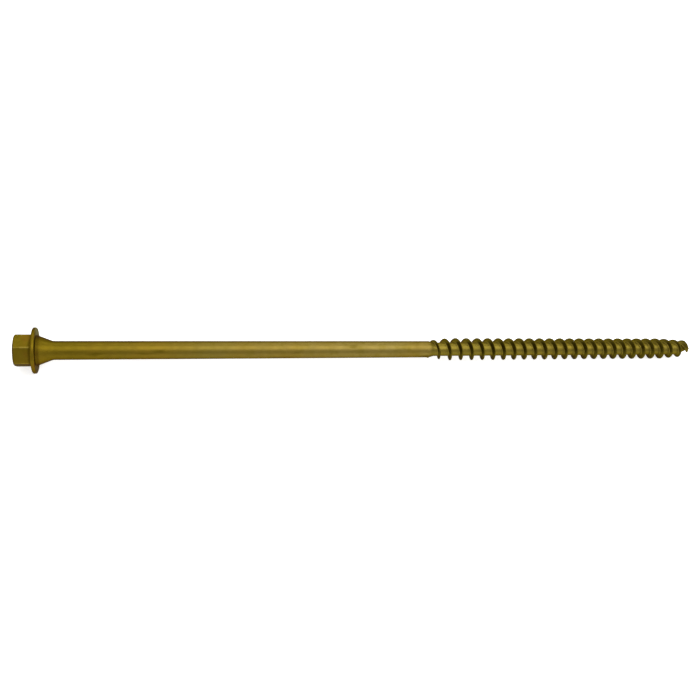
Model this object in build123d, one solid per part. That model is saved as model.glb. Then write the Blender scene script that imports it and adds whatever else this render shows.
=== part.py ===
"""A hex-flange lag screw for heavy timber, 8 in long, formed from one piece of steel wire.

The screw lies as it comes to rest: on the edge of its flange and on the crest of its thread.
+X runs towards the point, +Z is up, and the origin is the centre of the flange's bearing face.
Lengths are in millimetres and angles in degrees.
"""
import os
from math import asin, cos, degrees, pi, radians, sin, tan

from build123d import *

# Driving dimensions: the screw as a whole
screw_length = 203.0          # from the flange's bearing face to the point
shank_diameter = 4.93

# Driving dimensions: the head
hex_width = 7.65              # across the flats
hex_height = 4.15
hex_corner_radius = 0.35
hex_chamfer_length = 0.55     # along the corners
hex_chamfer_angle = 36.0      # from the end face
flange_diameter = 12.0
flange_thickness = 1.2        # where it meets the hexagon
flange_rim_thickness = 0.9
flange_rim_radius = 0.3
neck_diameter = 8.0           # of the cone where it leaves the bearing face
neck_length = 3.8
neck_blend_radius = 2.5       # where the cone runs into the shank

# Driving dimensions: the thread
thread_length = 96.4          # from its first rise out of the shank to the point
thread_diameter = 6.8
root_diameter = 4.1
thread_pitch = 3.6
thread_start_angle = 79.0     # where the ridge starts, from +Y towards +Z
flank_angle = 20.0            # of each flank, from square to the axis
crest_width = 0.2
rise_turns = 2.2              # the turns in which the ridge reaches its full height
shank_step_turns = 0.45       # where the shank ends, in turns past the start of the thread
shank_step_length = 1.5       # of the cone from the shank down to the root

# Driving dimensions: the gimlet point
point_length = 5.8            # of the root's cone
crest_taper_length = 9.5      # from where the crest starts to fall to the point
crest_shoulder_length = 3.8   # from where the crest falls steeply to the point
crest_shoulder_diameter = 5.5
ridge_end_length = 0.7        # the ridge stops this far short of the point

# How the ridge is made
faces_per_turn = 2            # lengthwise pieces of each flank in one turn
steps_per_face = 16           # points on each rail of one piece
ridge_sink = 0.25             # how far the ridge reaches into the core
least_radius = 0.12           # of the ridge's foot near the point
least_height = 0.05           # of the ridge over its foot

# Derived dimensions
shank_radius = shank_diameter / 2
root_radius = root_diameter / 2
thread_radius = thread_diameter / 2
thread_start = screw_length - thread_length
thread_full = thread_start + rise_turns * thread_pitch
shank_end = thread_start + shank_step_turns * thread_pitch
root_start = shank_end + shank_step_length
ridge_end = screw_length - ridge_end_length
crest_taper_start = screw_length - crest_taper_length
crest_shoulder = screw_length - crest_shoulder_length


def between(x, x_from, x_to, value_from, value_to):
    """The value at x on the straight line from value_from to value_to, held past its ends."""
    share = min(max((x - x_from) / (x_to - x_from), 0.0), 1.0)
    return value_from + share * (value_to - value_from)


def core_radius(x):
    """Radius of the threaded core at x: the root, then the cone of the point."""
    return between(x, screw_length - point_length, screw_length, root_radius, 0.0)


def crest_radius(x):
    """Radius of the thread's crest at x: its rise, its full height and its fall to the point."""
    rise = between(x, thread_start, thread_full, shank_radius, thread_radius)
    taper = between(x, crest_taper_start, crest_shoulder, thread_radius, crest_shoulder_diameter / 2)
    fall = crest_shoulder_diameter / 2 * (screw_length - x) / crest_shoulder_length
    return min(rise, taper, fall)


def ridge_corner(x, side, on_crest):
    """One corner of the ridge's section at x; side is -1 towards the head, 1 towards the point."""
    foot = max(core_radius(x) - ridge_sink, least_radius)
    crest = max(crest_radius(x), foot + least_height)
    half_width = crest_width / 2
    if not on_crest:
        half_width += (crest - foot) * tan(radians(flank_angle))
    radius = crest if on_crest else foot
    angle = radians(thread_start_angle) + 2 * pi * (x - thread_start) / thread_pitch
    return Vector(x + side * half_width, radius * cos(angle), radius * sin(angle))


def ridge_rails(x_from, x_to):
    """The four corner curves of the ridge over one stretch of the helix."""
    corners = [(-1, False), (-1, True), (1, True), (1, False)]
    step = (x_to - x_from) / steps_per_face
    stations = [x_from + i * step for i in range(steps_per_face + 1)]
    return [Edge.make_spline([ridge_corner(x, *corner) for x in stations]) for corner in corners]


def ridge_end_face(rails, at_end):
    """The flat face that closes the ridge across the rails' first or last points."""
    corners = [rail @ (1 if at_end else 0) for rail in rails]
    return Face(Wire.make_polygon(corners, close=True))


def thread_ridge():
    """The helical ridge: ruled faces laid end to end along the helix, closed at both ends."""
    pieces = round((ridge_end - thread_start) / thread_pitch * faces_per_turn)
    piece_length = (ridge_end - thread_start) / pieces
    bounds = [thread_start + i * piece_length for i in range(pieces + 1)]
    faces = []
    for x_from, x_to in zip(bounds, bounds[1:]):
        rails = ridge_rails(x_from, x_to)
        if x_from == bounds[0]:
            faces.append(ridge_end_face(rails, at_end=False))
        for rail, next_rail in zip(rails, rails[1:] + rails[:1]):
            faces.append(Face.make_surface_from_curves(rail, next_rail))
    faces.append(ridge_end_face(rails, at_end=True))
    return Solid(Shell(faces))


def turned_blank():
    """Flange, conical neck, shank and pointed core, revolved about the screw's axis."""
    flange_radius = flange_diameter / 2
    with BuildPart() as blank:
        with BuildSketch(Plane.XZ) as half:
            with BuildLine():
                Polyline(
                    (-flange_thickness, 0),
                    (-flange_thickness, hex_width / 2),
                    (-flange_rim_thickness, flange_radius),
                    (0, flange_radius),
                    (0, neck_diameter / 2),
                    (neck_length, shank_radius),
                    (shank_end, shank_radius),
                    (root_start, root_radius),
                    (screw_length - point_length, root_radius),
                    (screw_length, 0),
                    close=True,
                )
            make_face()
            rim = half.vertices().filter_by(lambda v: v.Z > flange_radius - 0.01)
            fillet(rim, flange_rim_radius)
            neck_foot = half.vertices().sort_by_distance((neck_length, 0, shank_radius))[0]
            fillet(neck_foot, neck_blend_radius)
        revolve(axis=Axis.X)
    return blank.part


def hex_drive():
    """The hexagon behind the flange, with rounded corners and a turned chamfer at its end."""
    end_x = -flange_thickness - hex_height
    corner_reach = hex_width / 2 / cos(radians(30))
    face_radius = corner_reach - hex_chamfer_length / tan(radians(hex_chamfer_angle))
    with BuildPart() as drive:
        with BuildSketch(Plane.YZ.offset(end_x)):
            RegularPolygon(hex_width / 2, 6, major_radius=False)
        extrude(amount=hex_height)
        fillet(drive.edges().filter_by(Axis.X), hex_corner_radius)
        with BuildSketch(Plane.XZ):
            with BuildLine():
                Polyline(
                    (end_x, 0),
                    (end_x, face_radius),
                    (end_x + hex_chamfer_length, corner_reach),
                    (-flange_thickness, corner_reach),
                    (-flange_thickness, 0),
                    close=True,
                )
            make_face()
        revolve(axis=Axis.X, mode=Mode.INTERSECT)
    return drive.part


def rest_tilt():
    """How far the axis dips towards the point when flange and thread lie on a level surface."""
    return degrees(asin((flange_diameter / 2 - thread_radius) / crest_taper_start))


screw = turned_blank().fuse(hex_drive(), thread_ridge())
screw = screw.rotate(Axis.Y, rest_tilt())
screw.label = "lag_screw"
print("dip of the axis at rest:", round(rest_tilt(), 3), "degrees")

os.makedirs("parts", exist_ok=True)
export_step(screw, "parts/lag_screw.step")
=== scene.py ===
# %% [markdown]
# # A lag screw, from one helical strip to a finished coat
#
# The screw is one piece of steel wire. A die forges the hexagon, the flange and the cone
# under it, rolling dies squeeze the thread up out of the blank, and the whole screw is
# then coated against the weather. So it is one object here too. All sizes are in
# millimetres, and one last transform brings them to metres.

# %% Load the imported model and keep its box
from math import asin, cos, degrees, pi, radians, sin, tan

import bmesh
import bpy
from mathutils import Matrix, Vector, noise


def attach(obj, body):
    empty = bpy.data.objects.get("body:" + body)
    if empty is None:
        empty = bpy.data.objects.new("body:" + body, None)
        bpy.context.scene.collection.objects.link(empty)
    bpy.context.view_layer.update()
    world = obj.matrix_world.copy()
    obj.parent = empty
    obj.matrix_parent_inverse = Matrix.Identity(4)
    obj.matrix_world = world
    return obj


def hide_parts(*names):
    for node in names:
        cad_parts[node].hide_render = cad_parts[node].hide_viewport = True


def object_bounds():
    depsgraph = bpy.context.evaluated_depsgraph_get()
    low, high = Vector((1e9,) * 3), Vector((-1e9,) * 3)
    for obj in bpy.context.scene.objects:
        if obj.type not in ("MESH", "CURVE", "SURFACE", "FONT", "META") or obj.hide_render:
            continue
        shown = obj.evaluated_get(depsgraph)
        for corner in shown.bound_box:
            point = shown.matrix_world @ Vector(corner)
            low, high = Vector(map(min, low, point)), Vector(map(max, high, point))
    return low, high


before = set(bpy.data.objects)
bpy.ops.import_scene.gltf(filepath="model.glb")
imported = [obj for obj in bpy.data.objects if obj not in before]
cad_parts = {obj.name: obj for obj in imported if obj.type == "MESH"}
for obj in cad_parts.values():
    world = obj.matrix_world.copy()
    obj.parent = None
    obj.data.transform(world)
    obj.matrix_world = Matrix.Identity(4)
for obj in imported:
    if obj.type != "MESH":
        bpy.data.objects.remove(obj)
cad_box = [[float(value) for value in corner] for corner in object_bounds()]
floor_height = cad_box[0][2]
print("CAD box, m:", cad_box)

# %% [markdown]
# ## The sizes of the screw
#
# A screw is measured from the flange's bearing face. That face is x = 0, the point is at
# positive x, and the hexagon lies at negative x. The thread is given by its root, its
# crest and its pitch, as in a maker's drawing.

# %% Sizes
screw_length = 203.0
shank_radius = 2.465
hex_width, hex_height, hex_corner_radius = 7.65, 4.14, 0.35
chamfer_length, chamfer_angle = 0.4, 36.0
flange_radius, flange_thickness, flange_rim = 5.98, 1.2, 0.9
rim_radius = 0.3
neck_radius, neck_length, neck_blend = 4.0, 3.8, 2.5
thread_start, thread_start_angle, pitch = 106.6, 79.0, 3.6
root_radius, thread_radius = 2.05, 3.4
crest_half, flank_angle = 0.1, 20.0
rise_length = 2.2 * pitch
shank_end = thread_start + 0.45 * pitch
root_start = shank_end + 1.5
point_length, crest_taper, crest_shoulder = 5.8, 12.5, 3.0
shoulder_radius = 2.78
last_full_crest, flange_over_crest = 193.5, 2.6
ridge_fade_from, ridge_fade_to = 0.75, 0.3
waver_depth, knock_depth_far, knock_depth_near = 0.04, 0.1, 0.35
rest_dip = asin(flange_over_crest / last_full_crest)
print("dip of the axis at rest, degrees:", round(degrees(rest_dip), 3))

# %% [markdown]
# ## How high the metal stands along the screw
#
# Three short rules describe the threaded end. The core runs from the shank down to the
# root and ends in the cone of the point. The crest rises slowly out of the shank, because
# rolling dies are ground with a run-out, and falls again towards the point. Keeping these
# as functions of x means that one helical strip can take its whole shape from them.

# %% The core and the crest as functions of x


def between(x, x_from, x_to, value_from, value_to):
    share = min(max((x - x_from) / (x_to - x_from), 0.0), 1.0)
    return value_from + share * (value_to - value_from)


def core_radius(x):
    if x < root_start:
        return between(x, shank_end, root_start, shank_radius, root_radius)
    return between(x, screw_length - point_length, screw_length, root_radius, 0.0)


def crest_radius(x):
    rise = between(x, thread_start, thread_start + rise_length, shank_radius, thread_radius)
    taper_from = screw_length - crest_taper
    shoulder = screw_length - crest_shoulder
    taper = between(x, taper_from, shoulder, thread_radius, shoulder_radius)
    fall = shoulder_radius * (screw_length - x) / crest_shoulder
    return min(rise, taper, fall)


def worn_crest(x, angle):
    """Rolled crests close unevenly, and those near the point get knocked about."""
    place = Vector((x * 0.9, cos(angle) * 1.3, sin(angle) * 1.3))
    waver = 0.5 + 0.5 * noise.noise(place)
    knocks = max(0.0, noise.noise(place * 2.7) - 0.35)
    knock_depth = between(x, 170.0, 196.0, knock_depth_far, knock_depth_near)
    return waver_depth * waver + knock_depth * knocks


print("crest at mid thread:", crest_radius(150.0), "near the point:", crest_radius(199.0))

# %% [markdown]
# ## The thread: spin one pitch of profile along the axis
#
# A thread could be an array of rings, but rings have no lead, or a curve with a bevel,
# but that leaves the root open. Spin with a small step along the axis makes a true
# helix: a straight row of points one pitch long is turned about X and moved forward as
# it turns, so each turn's far edge meets the next turn's near edge. The points lie close
# together at the crest and at the foot of the flanks, where the surface bends.

# %% Spin the strip
steps_per_turn = 56
half_row = [0.0, 0.05, 0.09, 0.13, 0.22, 0.35, 0.47, 0.54, 0.6, 0.67, 0.78, 1.1, 1.45, pitch / 2]
row = [-u for u in reversed(half_row[1:])] + half_row
strip_from = thread_start - 2 * pitch
turns = (screw_length + pitch - strip_from) / pitch
steps = round(turns * steps_per_turn)

body = bmesh.new()
start_turn = Matrix.Rotation(radians(thread_start_angle), 3, "X")
points = []
for u in row:
    points.append(body.verts.new(start_turn @ Vector((strip_from + u, shank_radius, 0.0))))
edges = [body.edges.new(pair) for pair in zip(points, points[1:])]
bmesh.ops.spin(
    body,
    geom=points + edges,
    cent=(0.0, 0.0, 0.0),
    axis=(1.0, 0.0, 0.0),
    dvec=(pitch / steps_per_turn, 0.0, 0.0),
    angle=2 * pi * steps / steps_per_turn,
    steps=steps,
    use_merge=False,
    use_duplicate=False,
)
bmesh.ops.remove_doubles(body, verts=body.verts[:], dist=0.002)
print("helical strip:", len(body.verts), "points,", len(body.faces), "faces")

# %% [markdown]
# ## Cut the strip square at both ends
#
# The strip starts and ends in a step. A plane through it at each end leaves a clean ring,
# and the shank and the point are then grown from those rings. That keeps the turned body
# one closed skin, with no seam where the thread begins.

# %% Cut the ends
shank_ring_x = thread_start - pitch
point_ring_x = screw_length - 0.12
for plane_x, outward in ((shank_ring_x, -1.0), (point_ring_x, 1.0)):
    bmesh.ops.bisect_plane(
        body,
        geom=body.verts[:] + body.edges[:] + body.faces[:],
        dist=0.0005,
        plane_co=(plane_x, 0.0, 0.0),
        plane_no=(outward, 0.0, 0.0),
        clear_outer=True,
    )


def ring_at(mesh, x):
    """The open edges that lie in the plane at x."""
    found = []
    for edge in mesh.edges:
        if edge.is_boundary and all(abs(vert.co.x - x) < 0.001 for vert in edge.verts):
            found.append(edge)
    return found


print("ring at the shank:", len(ring_at(body, shank_ring_x)), "edges")
print("ring at the point:", len(ring_at(body, point_ring_x)), "edges")

# %% [markdown]
# ## Raise the ridge
#
# So far the strip is a plain tube. Each of its points knows how far it lies from the
# middle of the ridge: that is its x less the x that the helix has at its angle. Near the
# middle it goes up to the crest, on the flank it slopes at 20 degrees, and beyond that it
# stays on the core. Where the crest is low, the flanks keep their angle and the ridge
# gets narrower, as a real run-out does. Where hardly any ridge is left, the points go back
# to where the strip had them.

# %% Shape the strip
full_height = thread_radius - root_radius
foot_half = crest_half + full_height * tan(radians(flank_angle))
spread_below = 0.25


def flank_height(t):
    """Height as a share, from 1 on the crest (t = 0) to 0 at the foot (t = 1), edges eased."""
    crest_ease, foot_ease = 0.09, 0.16
    if t < -crest_ease:
        return 1.0
    if t < crest_ease:
        return 1.0 - (t + crest_ease) ** 2 / (4 * crest_ease)
    if t < 1.0 - foot_ease:
        return 1.0 - t
    if t < 1.0 + foot_ease:
        return (1.0 - t + foot_ease) ** 2 / (4 * foot_ease)
    return 0.0


def raise_point(vert):
    x = vert.co.x
    angle = Vector((vert.co.y, vert.co.z)).angle_signed(Vector((1.0, 0.0)), 0.0)
    lead = thread_start + pitch * (angle - radians(thread_start_angle)) / (2 * pi)
    u = (x - lead + pitch / 2) % pitch - pitch / 2
    middle = x - u
    height = crest_radius(middle) - worn_crest(middle, angle) - core_radius(middle)
    fade_from, fade_to = screw_length - ridge_fade_from, screw_length - ridge_fade_to
    height *= between(middle, fade_from, fade_to, 1.0, 0.0)
    share = max(height, 0.0) / full_height
    narrow = share + (1.0 - share) * max(0.0, 1.0 - share / spread_below)
    t = (abs(u) - crest_half) / (foot_half - crest_half)
    if abs(u) <= crest_half:
        new_u = abs(u)
    elif abs(u) <= foot_half:
        new_u = crest_half + (abs(u) - crest_half) * narrow
    else:
        new_foot = crest_half + (foot_half - crest_half) * narrow
        new_u = between(abs(u), foot_half, pitch / 2, new_foot, pitch / 2)
    new_x = middle + (new_u if u >= 0 else -new_u)
    if abs(x - shank_ring_x) < 0.001 or abs(x - point_ring_x) < 0.001:
        new_x = x
    radius = core_radius(new_x) + max(height, 0.0) * flank_height(t)
    vert.co = Vector((new_x, radius * cos(angle), radius * sin(angle)))


for vert in body.verts:
    raise_point(vert)
widest = max(Vector((vert.co.y, vert.co.z)).length for vert in body.verts)
print("highest crest:", round(widest, 3), "mm")

# %% [markdown]
# ## Grow the point, the shank, the neck and the flange
#
# Everything else but the hexagon is turned, so it can be grown ring by ring: extrude
# the open ring, move it along the axis and scale it to the next radius. The rounded
# places, such as the blend under the cone and the flange's rim, are short arcs of rings.

# %% Grow the rings


def extrude_ring(mesh, ring):
    """Extrude a ring in place, and return the new points and the new ring."""
    made = bmesh.ops.extrude_edge_only(mesh, edges=ring)["geom"]
    verts = [item for item in made if isinstance(item, bmesh.types.BMVert)]
    return verts, [item for item in made if isinstance(item, bmesh.types.BMEdge)]


def grow(mesh, x, radius, ring):
    """Extrude a ring to a new place and size, and return the new ring."""
    verts, new_ring = extrude_ring(mesh, ring)
    for vert in verts:
        out = Vector((0.0, vert.co.y, vert.co.z)).normalized()
        vert.co = Vector((x, 0.0, 0.0)) + out * radius
    return new_ring


def arc(centre_x, centre_radius, radius, angle_from, angle_to, count):
    """Places on an arc of the outline, with angles from +X towards the outside."""
    places = []
    for i in range(count + 1):
        angle = radians(angle_from + (angle_to - angle_from) * i / count)
        places.append((centre_x + radius * cos(angle), centre_radius + radius * sin(angle)))
    return places


ring = ring_at(body, point_ring_x)
for x, radius in ((screw_length - 0.05, 0.03), (screw_length - 0.01, 0.008)):
    ring = grow(body, x, radius, ring)
bmesh.ops.edgeloop_fill(body, edges=ring)

neck_drop = neck_radius - shank_radius
cone_slope = degrees(asin(neck_drop / (neck_length ** 2 + neck_drop ** 2) ** 0.5))
blend_x = neck_length + neck_blend * tan(radians(cone_slope / 2))
outline = [(x, shank_radius) for x in (92.0, 75.0, 58.0, 41.0, 24.0, 10.0)]
outline += arc(blend_x, shank_radius + neck_blend, neck_blend, 270.0, 270.0 - cone_slope, 7)
outline += [(0.06, neck_radius - 0.01), (0.0, neck_radius + 0.05), (0.0, 4.9)]
outline += arc(-rim_radius, flange_radius - rim_radius, rim_radius, 0.0, 90.0, 6)
rim_back_x = rim_radius - flange_rim - 0.04
outline += arc(rim_back_x, flange_radius - rim_radius, rim_radius, 90.0, 172.0, 6)
outline += [(-flange_thickness + 0.1, 4.6), (-flange_thickness, hex_width / 2)]
outline += [(-flange_thickness, 2.5)]
ring = ring_at(body, shank_ring_x)
for x, radius in outline:
    ring = grow(body, x, radius, ring)
bmesh.ops.edgeloop_fill(body, edges=ring)
print("turned outline:", len(outline), "rings, cone at", round(cone_slope, 1), "degrees")

# %% [markdown]
# ## The hexagon
#
# A forged hexagon has rounded corners, and a turned cone cuts them back at the end, which
# leaves an arc on each flat. The section is a six-sided circle whose corners get a vertex
# bevel. It is extruded in small steps, and each step's points are held inside the cone.

# %% Build the hexagon
hexagon = bmesh.new()
corner_reach = hex_width / 2 / cos(radians(30))
inside_flange_x = -0.7
to_section = Matrix(((0, 0, -1, inside_flange_x), (0, 1, 0, 0), (1, 0, 0, 0), (0, 0, 0, 1)))
bmesh.ops.create_circle(
    hexagon, cap_ends=True, segments=6, radius=corner_reach, matrix=to_section
)
bmesh.ops.bevel(
    hexagon,
    geom=hexagon.verts[:],
    offset=hex_corner_radius * tan(radians(30)),
    offset_type="OFFSET",
    segments=6,
    profile=0.5,
    affect="VERTICES",
    material=-1,
)
flats = [edge for edge in hexagon.edges if edge.calc_length() > 1.0]
bmesh.ops.subdivide_edges(hexagon, edges=flats, cuts=17)

end_x = -flange_thickness - hex_height
face_radius = corner_reach - chamfer_length / tan(radians(chamfer_angle))
stations = [-1.25, -2.4, -3.6, end_x + chamfer_length + 0.05]
stations += [end_x + chamfer_length * (10 - i) / 11 for i in range(10)]
ring = [edge for edge in hexagon.edges if edge.is_boundary]
for x in stations:
    verts, ring = extrude_ring(hexagon, ring)
    limit = face_radius + max(x - end_x, 0.0) / tan(radians(chamfer_angle))
    for vert in verts:
        across = Vector((0.0, vert.co.y, vert.co.z))
        vert.co = Vector((x, 0.0, 0.0)) + across * min(1.0, limit / across.length)
for x, shrink in ((end_x + 0.02, 0.994), (end_x, 0.975)):
    verts, ring = extrude_ring(hexagon, ring)
    for vert in verts:
        vert.co = Vector((x, vert.co.y * shrink, vert.co.z * shrink))
ring = grow(hexagon, end_x, 2.6, ring)
bmesh.ops.edgeloop_fill(hexagon, edges=ring)
print("hexagon:", len(hexagon.faces), "faces,", round(2 * corner_reach, 2), "mm over the corners")

# %% [markdown]
# ## Join the two and lay the screw down
#
# The hexagon is copied into the body's mesh as a second closed shell, which reaches into
# the flange. Normals are worked out again once all points are in place, because spin and
# extrude may turn a skin inside out. The screw then gets its small dip about Y, since it
# lies on its flange and on its thread, and metres.

# %% Make the object
holder = bpy.data.meshes.new("hexagon_holder")
hexagon.to_mesh(holder)
hexagon.free()
body.from_mesh(holder)
bpy.data.meshes.remove(holder)
sharp_angle = radians(24)
bmesh.ops.recalc_face_normals(body, faces=body.faces[:])
for face in body.faces:
    face.smooth = True
for edge in body.edges:
    on_head = max(vert.co.x for vert in edge.verts) < 1.0
    if on_head and len(edge.link_faces) == 2 and edge.calc_face_angle(0.0) > sharp_angle:
        edge.smooth = False
lay_down = Matrix.Rotation(rest_dip, 4, "Y") @ Matrix.Scale(0.001, 4)
body.transform(lay_down)
open_edges = sum(1 for edge in body.edges if edge.is_boundary)
mesh = bpy.data.meshes.new("coated_screw")
body.to_mesh(mesh)
body.free()
screw = bpy.data.objects.new("coated_screw", mesh)
bpy.context.scene.collection.objects.link(screw)
print("screw:", len(mesh.polygons), "faces,", open_edges, "open edges")

# %% [markdown]
# ## The coat
#
# The coat is olive-bronze, and it is made as a tinted metal with a satin surface, not as
# paint. The tone wanders along the screw, small stains sit on it, the crests of the
# thread are rubbed brighter, and the flange's underside has a greyer patch. The thread's
# flanks, the corners on both sides of the flange and the hexagon's end get painted shade:
# a darker colour stands in for the shade there, besides what the lamps leave dark.
# All patterns read Object coordinates, turned so that their X lies along the screw.

# %% Helpers for the nodes
coat = bpy.data.materials.new("bronze_olive_coat")
coat.use_nodes = True
tree = coat.node_tree
tree.nodes.clear()


def node(kind, **settings):
    made = tree.nodes.new(kind)
    for name, value in settings.items():
        setattr(made, name, value)
    return made


def link(source, target):
    tree.links.new(source, target)


def noise_of(vector, scale, detail, rough=0.5):
    made = node("ShaderNodeTexNoise")
    made.inputs["Scale"].default_value = scale
    made.inputs["Detail"].default_value = detail
    made.inputs["Roughness"].default_value = rough
    link(vector, made.inputs["Vector"])
    return made.outputs["Fac"]


def ramp(value, low, high, to_low=0.0, to_high=1.0):
    made = node("ShaderNodeMapRange", interpolation_type="SMOOTHSTEP")
    link(value, made.inputs["Value"])
    for socket, number in (("From Min", low), ("From Max", high), ("To Min", to_low), ("To Max", to_high)):
        made.inputs[socket].default_value = number
    return made.outputs["Result"]


def times(first, second):
    made = node("ShaderNodeMath", operation="MULTIPLY")
    for socket, value in zip(made.inputs, (first, second)):
        if isinstance(value, float):
            socket.default_value = value
        else:
            link(value, socket)
    return made.outputs["Value"]


def tint(share, under, over):
    """Lay one colour over another by a share; each is a colour or another node's output."""
    made = node("ShaderNodeMix", data_type="RGBA")
    link(share, made.inputs["Factor"])
    for socket, value in ((made.inputs[6], under), (made.inputs[7], over)):
        if isinstance(value, tuple):
            socket.default_value = (*value, 1.0)
        else:
            link(value, socket)
    return made.outputs[2]


print("helpers ready")

# %% Where on the screw: along it and out from its axis
place = node("ShaderNodeTexCoord").outputs["Object"]
level = node("ShaderNodeMapping", vector_type="POINT")
level.inputs["Rotation"].default_value = (0.0, -rest_dip, 0.0)
link(place, level.inputs["Vector"])
along_axis = level.outputs["Vector"]
split = node("ShaderNodeSeparateXYZ")
link(along_axis, split.inputs["Vector"])
axial = split.outputs["X"]
off_axis = node("ShaderNodeVectorMath", operation="MULTIPLY")
off_axis.inputs[1].default_value = (0.0, 1.0, 1.0)
link(along_axis, off_axis.inputs[0])
reach = node("ShaderNodeVectorMath", operation="LENGTH")
link(off_axis.outputs["Vector"], reach.inputs[0])
radial = reach.outputs["Value"]
drawn = node("ShaderNodeMapping", vector_type="POINT")
drawn.inputs["Scale"].default_value = (0.06, 1.0, 1.0)
link(along_axis, drawn.inputs["Vector"])
print("coordinates: axial, radial and drawn out along the wire")

# %% Colour
olive = (0.104, 0.073, 0.0034)
bronze = (0.178, 0.132, 0.031)
brown = (0.130, 0.062, 0.006)
stain = (0.080, 0.055, 0.002)
greyish = (0.235, 0.235, 0.165)
shaded = (0.050, 0.030, 0.0015)
# painted shade: the darker tone laid on the thread's flanks
flank_shade_tone = (0.066, 0.051, 0.0036)
warm = (0.165, 0.101, 0.008)
dull = (0.125, 0.090, 0.006)
bright_corner = (0.235, 0.175, 0.032)
thread_tone = (0.142, 0.109, 0.013)
bright_crest = (0.19, 0.135, 0.018)

towards_thread = ramp(axial, 0.0, 0.085)
colour = tint(towards_thread, olive, bronze)
wander = ramp(noise_of(along_axis, 55.0, 3.0), 0.35, 0.7, 0.0, 0.5)
colour = tint(wander, colour, warm)
mottle = ramp(noise_of(along_axis, 420.0, 4.0, 0.6), 0.42, 0.75, 0.0, 0.55)
colour = tint(mottle, colour, dull)
smudged = node("ShaderNodeMapping", vector_type="POINT")
smudged.inputs["Scale"].default_value = (0.3, 1.0, 1.0)
link(along_axis, smudged.inputs["Vector"])
spots = ramp(noise_of(smudged.outputs["Vector"], 330.0, 2.0), 0.62, 0.74, 0.0, 0.7)
colour = tint(spots, colour, stain)

at_flange = times(ramp(axial, -0.0034, -0.0012), ramp(axial, 0.0012, -0.0002))
rusty = times(at_flange, ramp(noise_of(along_axis, 300.0, 3.0), 0.44, 0.62, 0.0, 0.75))
colour = tint(rusty, colour, brown)

under_head = times(ramp(axial, -0.00025, -0.00005), ramp(axial, 0.0004, 0.0001))
far_side = times(ramp(split.outputs["Y"], 0.0005, 0.0030), ramp(radial, 0.0040, 0.0044))
greyer = times(times(under_head, far_side), 0.7)
colour = tint(greyer, colour, greyish)
# Painted shade in the corner where the neck meets the flange's bearing face.
corner = times(ramp(axial, 0.0010, 0.0005, 0.0, 0.6), ramp(axial, -0.0001, 0.0001))
colour = tint(corner, colour, shaded)
# Painted shade on the back of the flange and the foot of the hexagon, where they meet.
shade_behind_flange = times(ramp(axial, -0.0020, -0.0014, 0.0, 0.7), ramp(radial, 0.0049, 0.0041))
shade_behind_flange = times(shade_behind_flange, ramp(axial, 0.0, -0.0005))
colour = tint(shade_behind_flange, colour, shaded)
on_hexagon = ramp(axial, -0.0013, -0.0016)
rubbed_in_places = ramp(noise_of(along_axis, 900.0, 2.0), 0.42, 0.6, 0.1, 0.5)
worn_corners = times(times(on_hexagon, ramp(radial, 0.00424, 0.00434)), rubbed_in_places)
colour = tint(worn_corners, colour, bright_corner)
# Painted shade: the hexagon's chamfered end is darkened.
colour = tint(ramp(axial, -0.0049, -0.0052, 0.0, 0.55), colour, shaded)
patch = node("ShaderNodeVectorMath", operation="DISTANCE")
patch.inputs[1].default_value = (-0.0023, 0.0012, 0.0038)
link(along_axis, patch.inputs[0])
reddened = times(ramp(patch.outputs["Value"], 0.0019, 0.0008, 0.0, 0.4), on_hexagon)
colour = tint(reddened, colour, brown)

on_thread = ramp(axial, 0.1075, 0.1095)
colour = tint(times(on_thread, 0.75), colour, thread_tone)
# Painted shade on the thread above its root, over the flanks and the crests.
flank_shade = times(on_thread, ramp(radial, 0.00212, 0.00245, 0.0, 0.8))
colour = tint(flank_shade, colour, flank_shade_tone)
rubbed = times(on_thread, ramp(radial, 0.00325, 0.0034, 0.0, 0.3))
colour = tint(rubbed, colour, bright_crest)
print("colour nodes:", len(tree.nodes))

# %% [markdown]
# ## Sheen and grain
#
# Roughness and bump carry the rest: drawing marks run along the wire, the coat has a fine
# orange-peel, and its sheen wanders a little from place to place.

# %% Surface and shader
grain = noise_of(along_axis, 2600.0, 3.0, 0.6)
drawing = noise_of(drawn.outputs["Vector"], 1500.0, 3.0, 0.6)
peel = noise_of(along_axis, 700.0, 2.0)
relief = node("ShaderNodeMath", operation="MULTIPLY_ADD")
link(drawing, relief.inputs[0])
relief.inputs[1].default_value = 0.35
link(grain, relief.inputs[2])
height = node("ShaderNodeMath", operation="ADD")
link(relief.outputs["Value"], height.inputs[0])
link(peel, height.inputs[1])
bump = node("ShaderNodeBump")
bump.inputs["Strength"].default_value = 0.35
bump.inputs["Distance"].default_value = 0.00006
link(height.outputs["Value"], bump.inputs["Height"])

shader = node("ShaderNodeBsdfPrincipled")
shader.inputs["Metallic"].default_value = 0.95
shader.inputs["Specular Tint"].default_value = (0.30, 0.28, 0.13, 1.0)
link(colour, shader.inputs["Base Color"])
link(ramp(noise_of(along_axis, 500.0, 3.0), 0.3, 0.7, 0.34, 0.46), shader.inputs["Roughness"])
link(bump.outputs["Normal"], shader.inputs["Normal"])
output = node("ShaderNodeOutputMaterial")
link(shader.outputs["BSDF"], output.inputs["Surface"])

mesh.materials.append(coat)
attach(screw, "root")
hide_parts("lag_screw")
print("coat on:", screw.name, "with", len(tree.nodes), "nodes")

# %% [markdown]
# ## A pale floor, a soft studio and a camera
#
# The screw lies on a white sheet. The sheet glows a little for the camera and in
# reflections, which keeps it white at an ordinary light level, and it still takes the
# screw's soft shadow. One wide panel hangs overhead, a weaker one stands behind, and the
# surroundings fill the rest.

# %% Light for the eye, and light for the screw
floor_glow, fill_light = 0.7, 0.35


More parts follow.
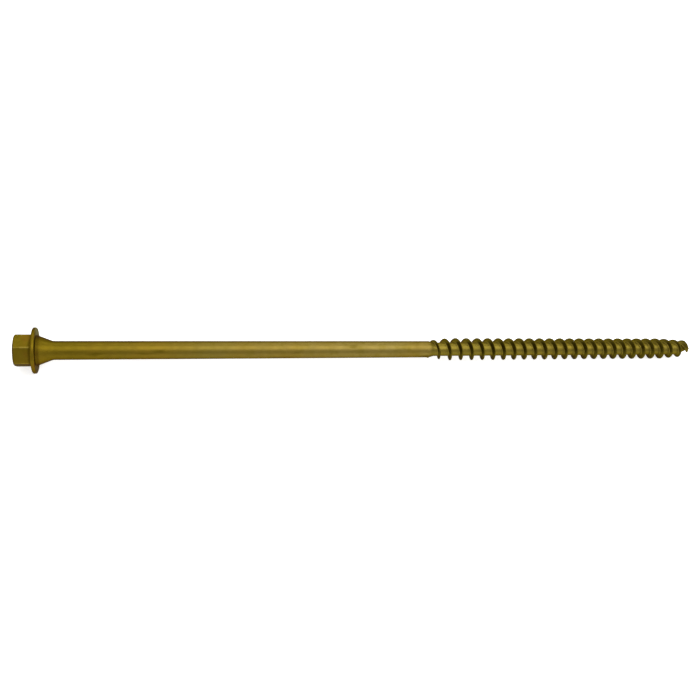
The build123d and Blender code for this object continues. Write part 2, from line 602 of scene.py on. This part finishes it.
def looked_at():
    """1 for rays that show a surface to the camera or in a reflection, else 0."""
    path = node("ShaderNodeLightPath")
    direct = node("ShaderNodeMath", operation="MAXIMUM")
    link(path.outputs["Is Camera Ray"], direct.inputs[0])
    link(path.outputs["Is Transmission Ray"], direct.inputs[1])
    either = node("ShaderNodeMath", operation="MAXIMUM")
    link(direct.outputs["Value"], either.inputs[0])
    link(path.outputs["Is Glossy Ray"], either.inputs[1])
    return either.outputs["Value"]


print("floor glow:", floor_glow, "fill light:", fill_light)

# %% Floor
bpy.ops.mesh.primitive_plane_add(size=6.0, location=(0.1, 0.0, floor_height))
floor = bpy.context.object
floor.name = "floor"
sheet = bpy.data.materials.new("white_sheet")
sheet.use_nodes = True
tree = sheet.node_tree
tree.nodes.clear()
paper = node("ShaderNodeBsdfDiffuse")
paper.inputs["Color"].default_value = (0.86, 0.86, 0.86, 1.0)
glow = node("ShaderNodeEmission")
glow.inputs["Color"].default_value = (1.0, 1.0, 1.0, 1.0)
link(times(looked_at(), floor_glow), glow.inputs["Strength"])
both = node("ShaderNodeAddShader")
link(paper.outputs["BSDF"], both.inputs[0])
link(glow.outputs["Emission"], both.inputs[1])
output = node("ShaderNodeOutputMaterial")
link(both.outputs["Shader"], output.inputs["Surface"])
floor.data.materials.append(sheet)
print("floor at", round(floor_height, 5), "m")

# %% Surroundings and lamps
world = bpy.data.worlds.new("studio")
bpy.context.scene.world = world
world.use_nodes = True
tree = world.node_tree
tree.nodes.clear()
backdrop = node("ShaderNodeBackground")
backdrop.inputs["Color"].default_value = (1.0, 1.0, 1.0, 1.0)
link(ramp(looked_at(), 0.0, 1.0, fill_light, 1.0), backdrop.inputs["Strength"])
output = node("ShaderNodeOutputWorld")
link(backdrop.outputs["Background"], output.inputs["Surface"])


def panel(name, at, aim, width, depth, watts):
    lamp = bpy.data.lights.new(name, "AREA")
    lamp.shape = "RECTANGLE"
    lamp.size, lamp.size_y = width, depth
    lamp.energy = watts
    holder = bpy.data.objects.new(name, lamp)
    holder.location = at
    holder.rotation_euler = (Vector(aim) - Vector(at)).to_track_quat("-Z", "Y").to_euler()
    bpy.context.scene.collection.objects.link(holder)
    print(name, "radiance", round(watts / (pi * width * depth), 2))


panel("overhead_panel", (0.30, -0.09, 0.42), (0.30, 0.0, 0.0), 0.80, 0.40, 2.2)
panel("back_panel", (0.20, 0.45, 0.50), (0.20, 0.0, 0.0), 0.9, 0.3, 1.3)

# %% Camera
lengthwise = Vector((cos(rest_dip), 0.0, -sin(rest_dip)))
across = Vector((0.0, 1.0, 0.0))
upward = Vector((sin(rest_dip), 0.0, cos(rest_dip)))
view_height, view_turn = radians(50.0), radians(16.049)
camera_roll, camera_nod = 0.0032617, 0.000759
towards = upward * sin(view_height) - across * cos(view_height)
above = upward * cos(view_height) + across * sin(view_height)
eye_along, eye_distance = 0.027563, 0.195405
eye = lengthwise * eye_along + towards * eye_distance
sight = lengthwise * sin(view_turn) - towards * cos(view_turn)
right = lengthwise * cos(view_turn) + towards * sin(view_turn)
camera_right = right * cos(camera_roll) - above * sin(camera_roll)
camera_up = right * sin(camera_roll) + above * cos(camera_roll)
camera_sight = sight * cos(camera_nod) - camera_up * sin(camera_nod)
camera_up = camera_up * cos(camera_nod) + sight * sin(camera_nod)
pose = Matrix((camera_right, camera_up, -camera_sight)).transposed().to_4x4()
pose.translation = eye
lens = bpy.data.cameras.new("camera")
lens.lens, lens.sensor_width = 36.0, 36.0
lens.clip_start = 0.01
camera = bpy.data.objects.new("camera", lens)
camera.matrix_world = pose
bpy.context.scene.collection.objects.link(camera)
bpy.context.scene.camera = camera
bpy.context.scene.view_settings.view_transform = "Standard"
print("camera at", [round(value, 4) for value in eye])
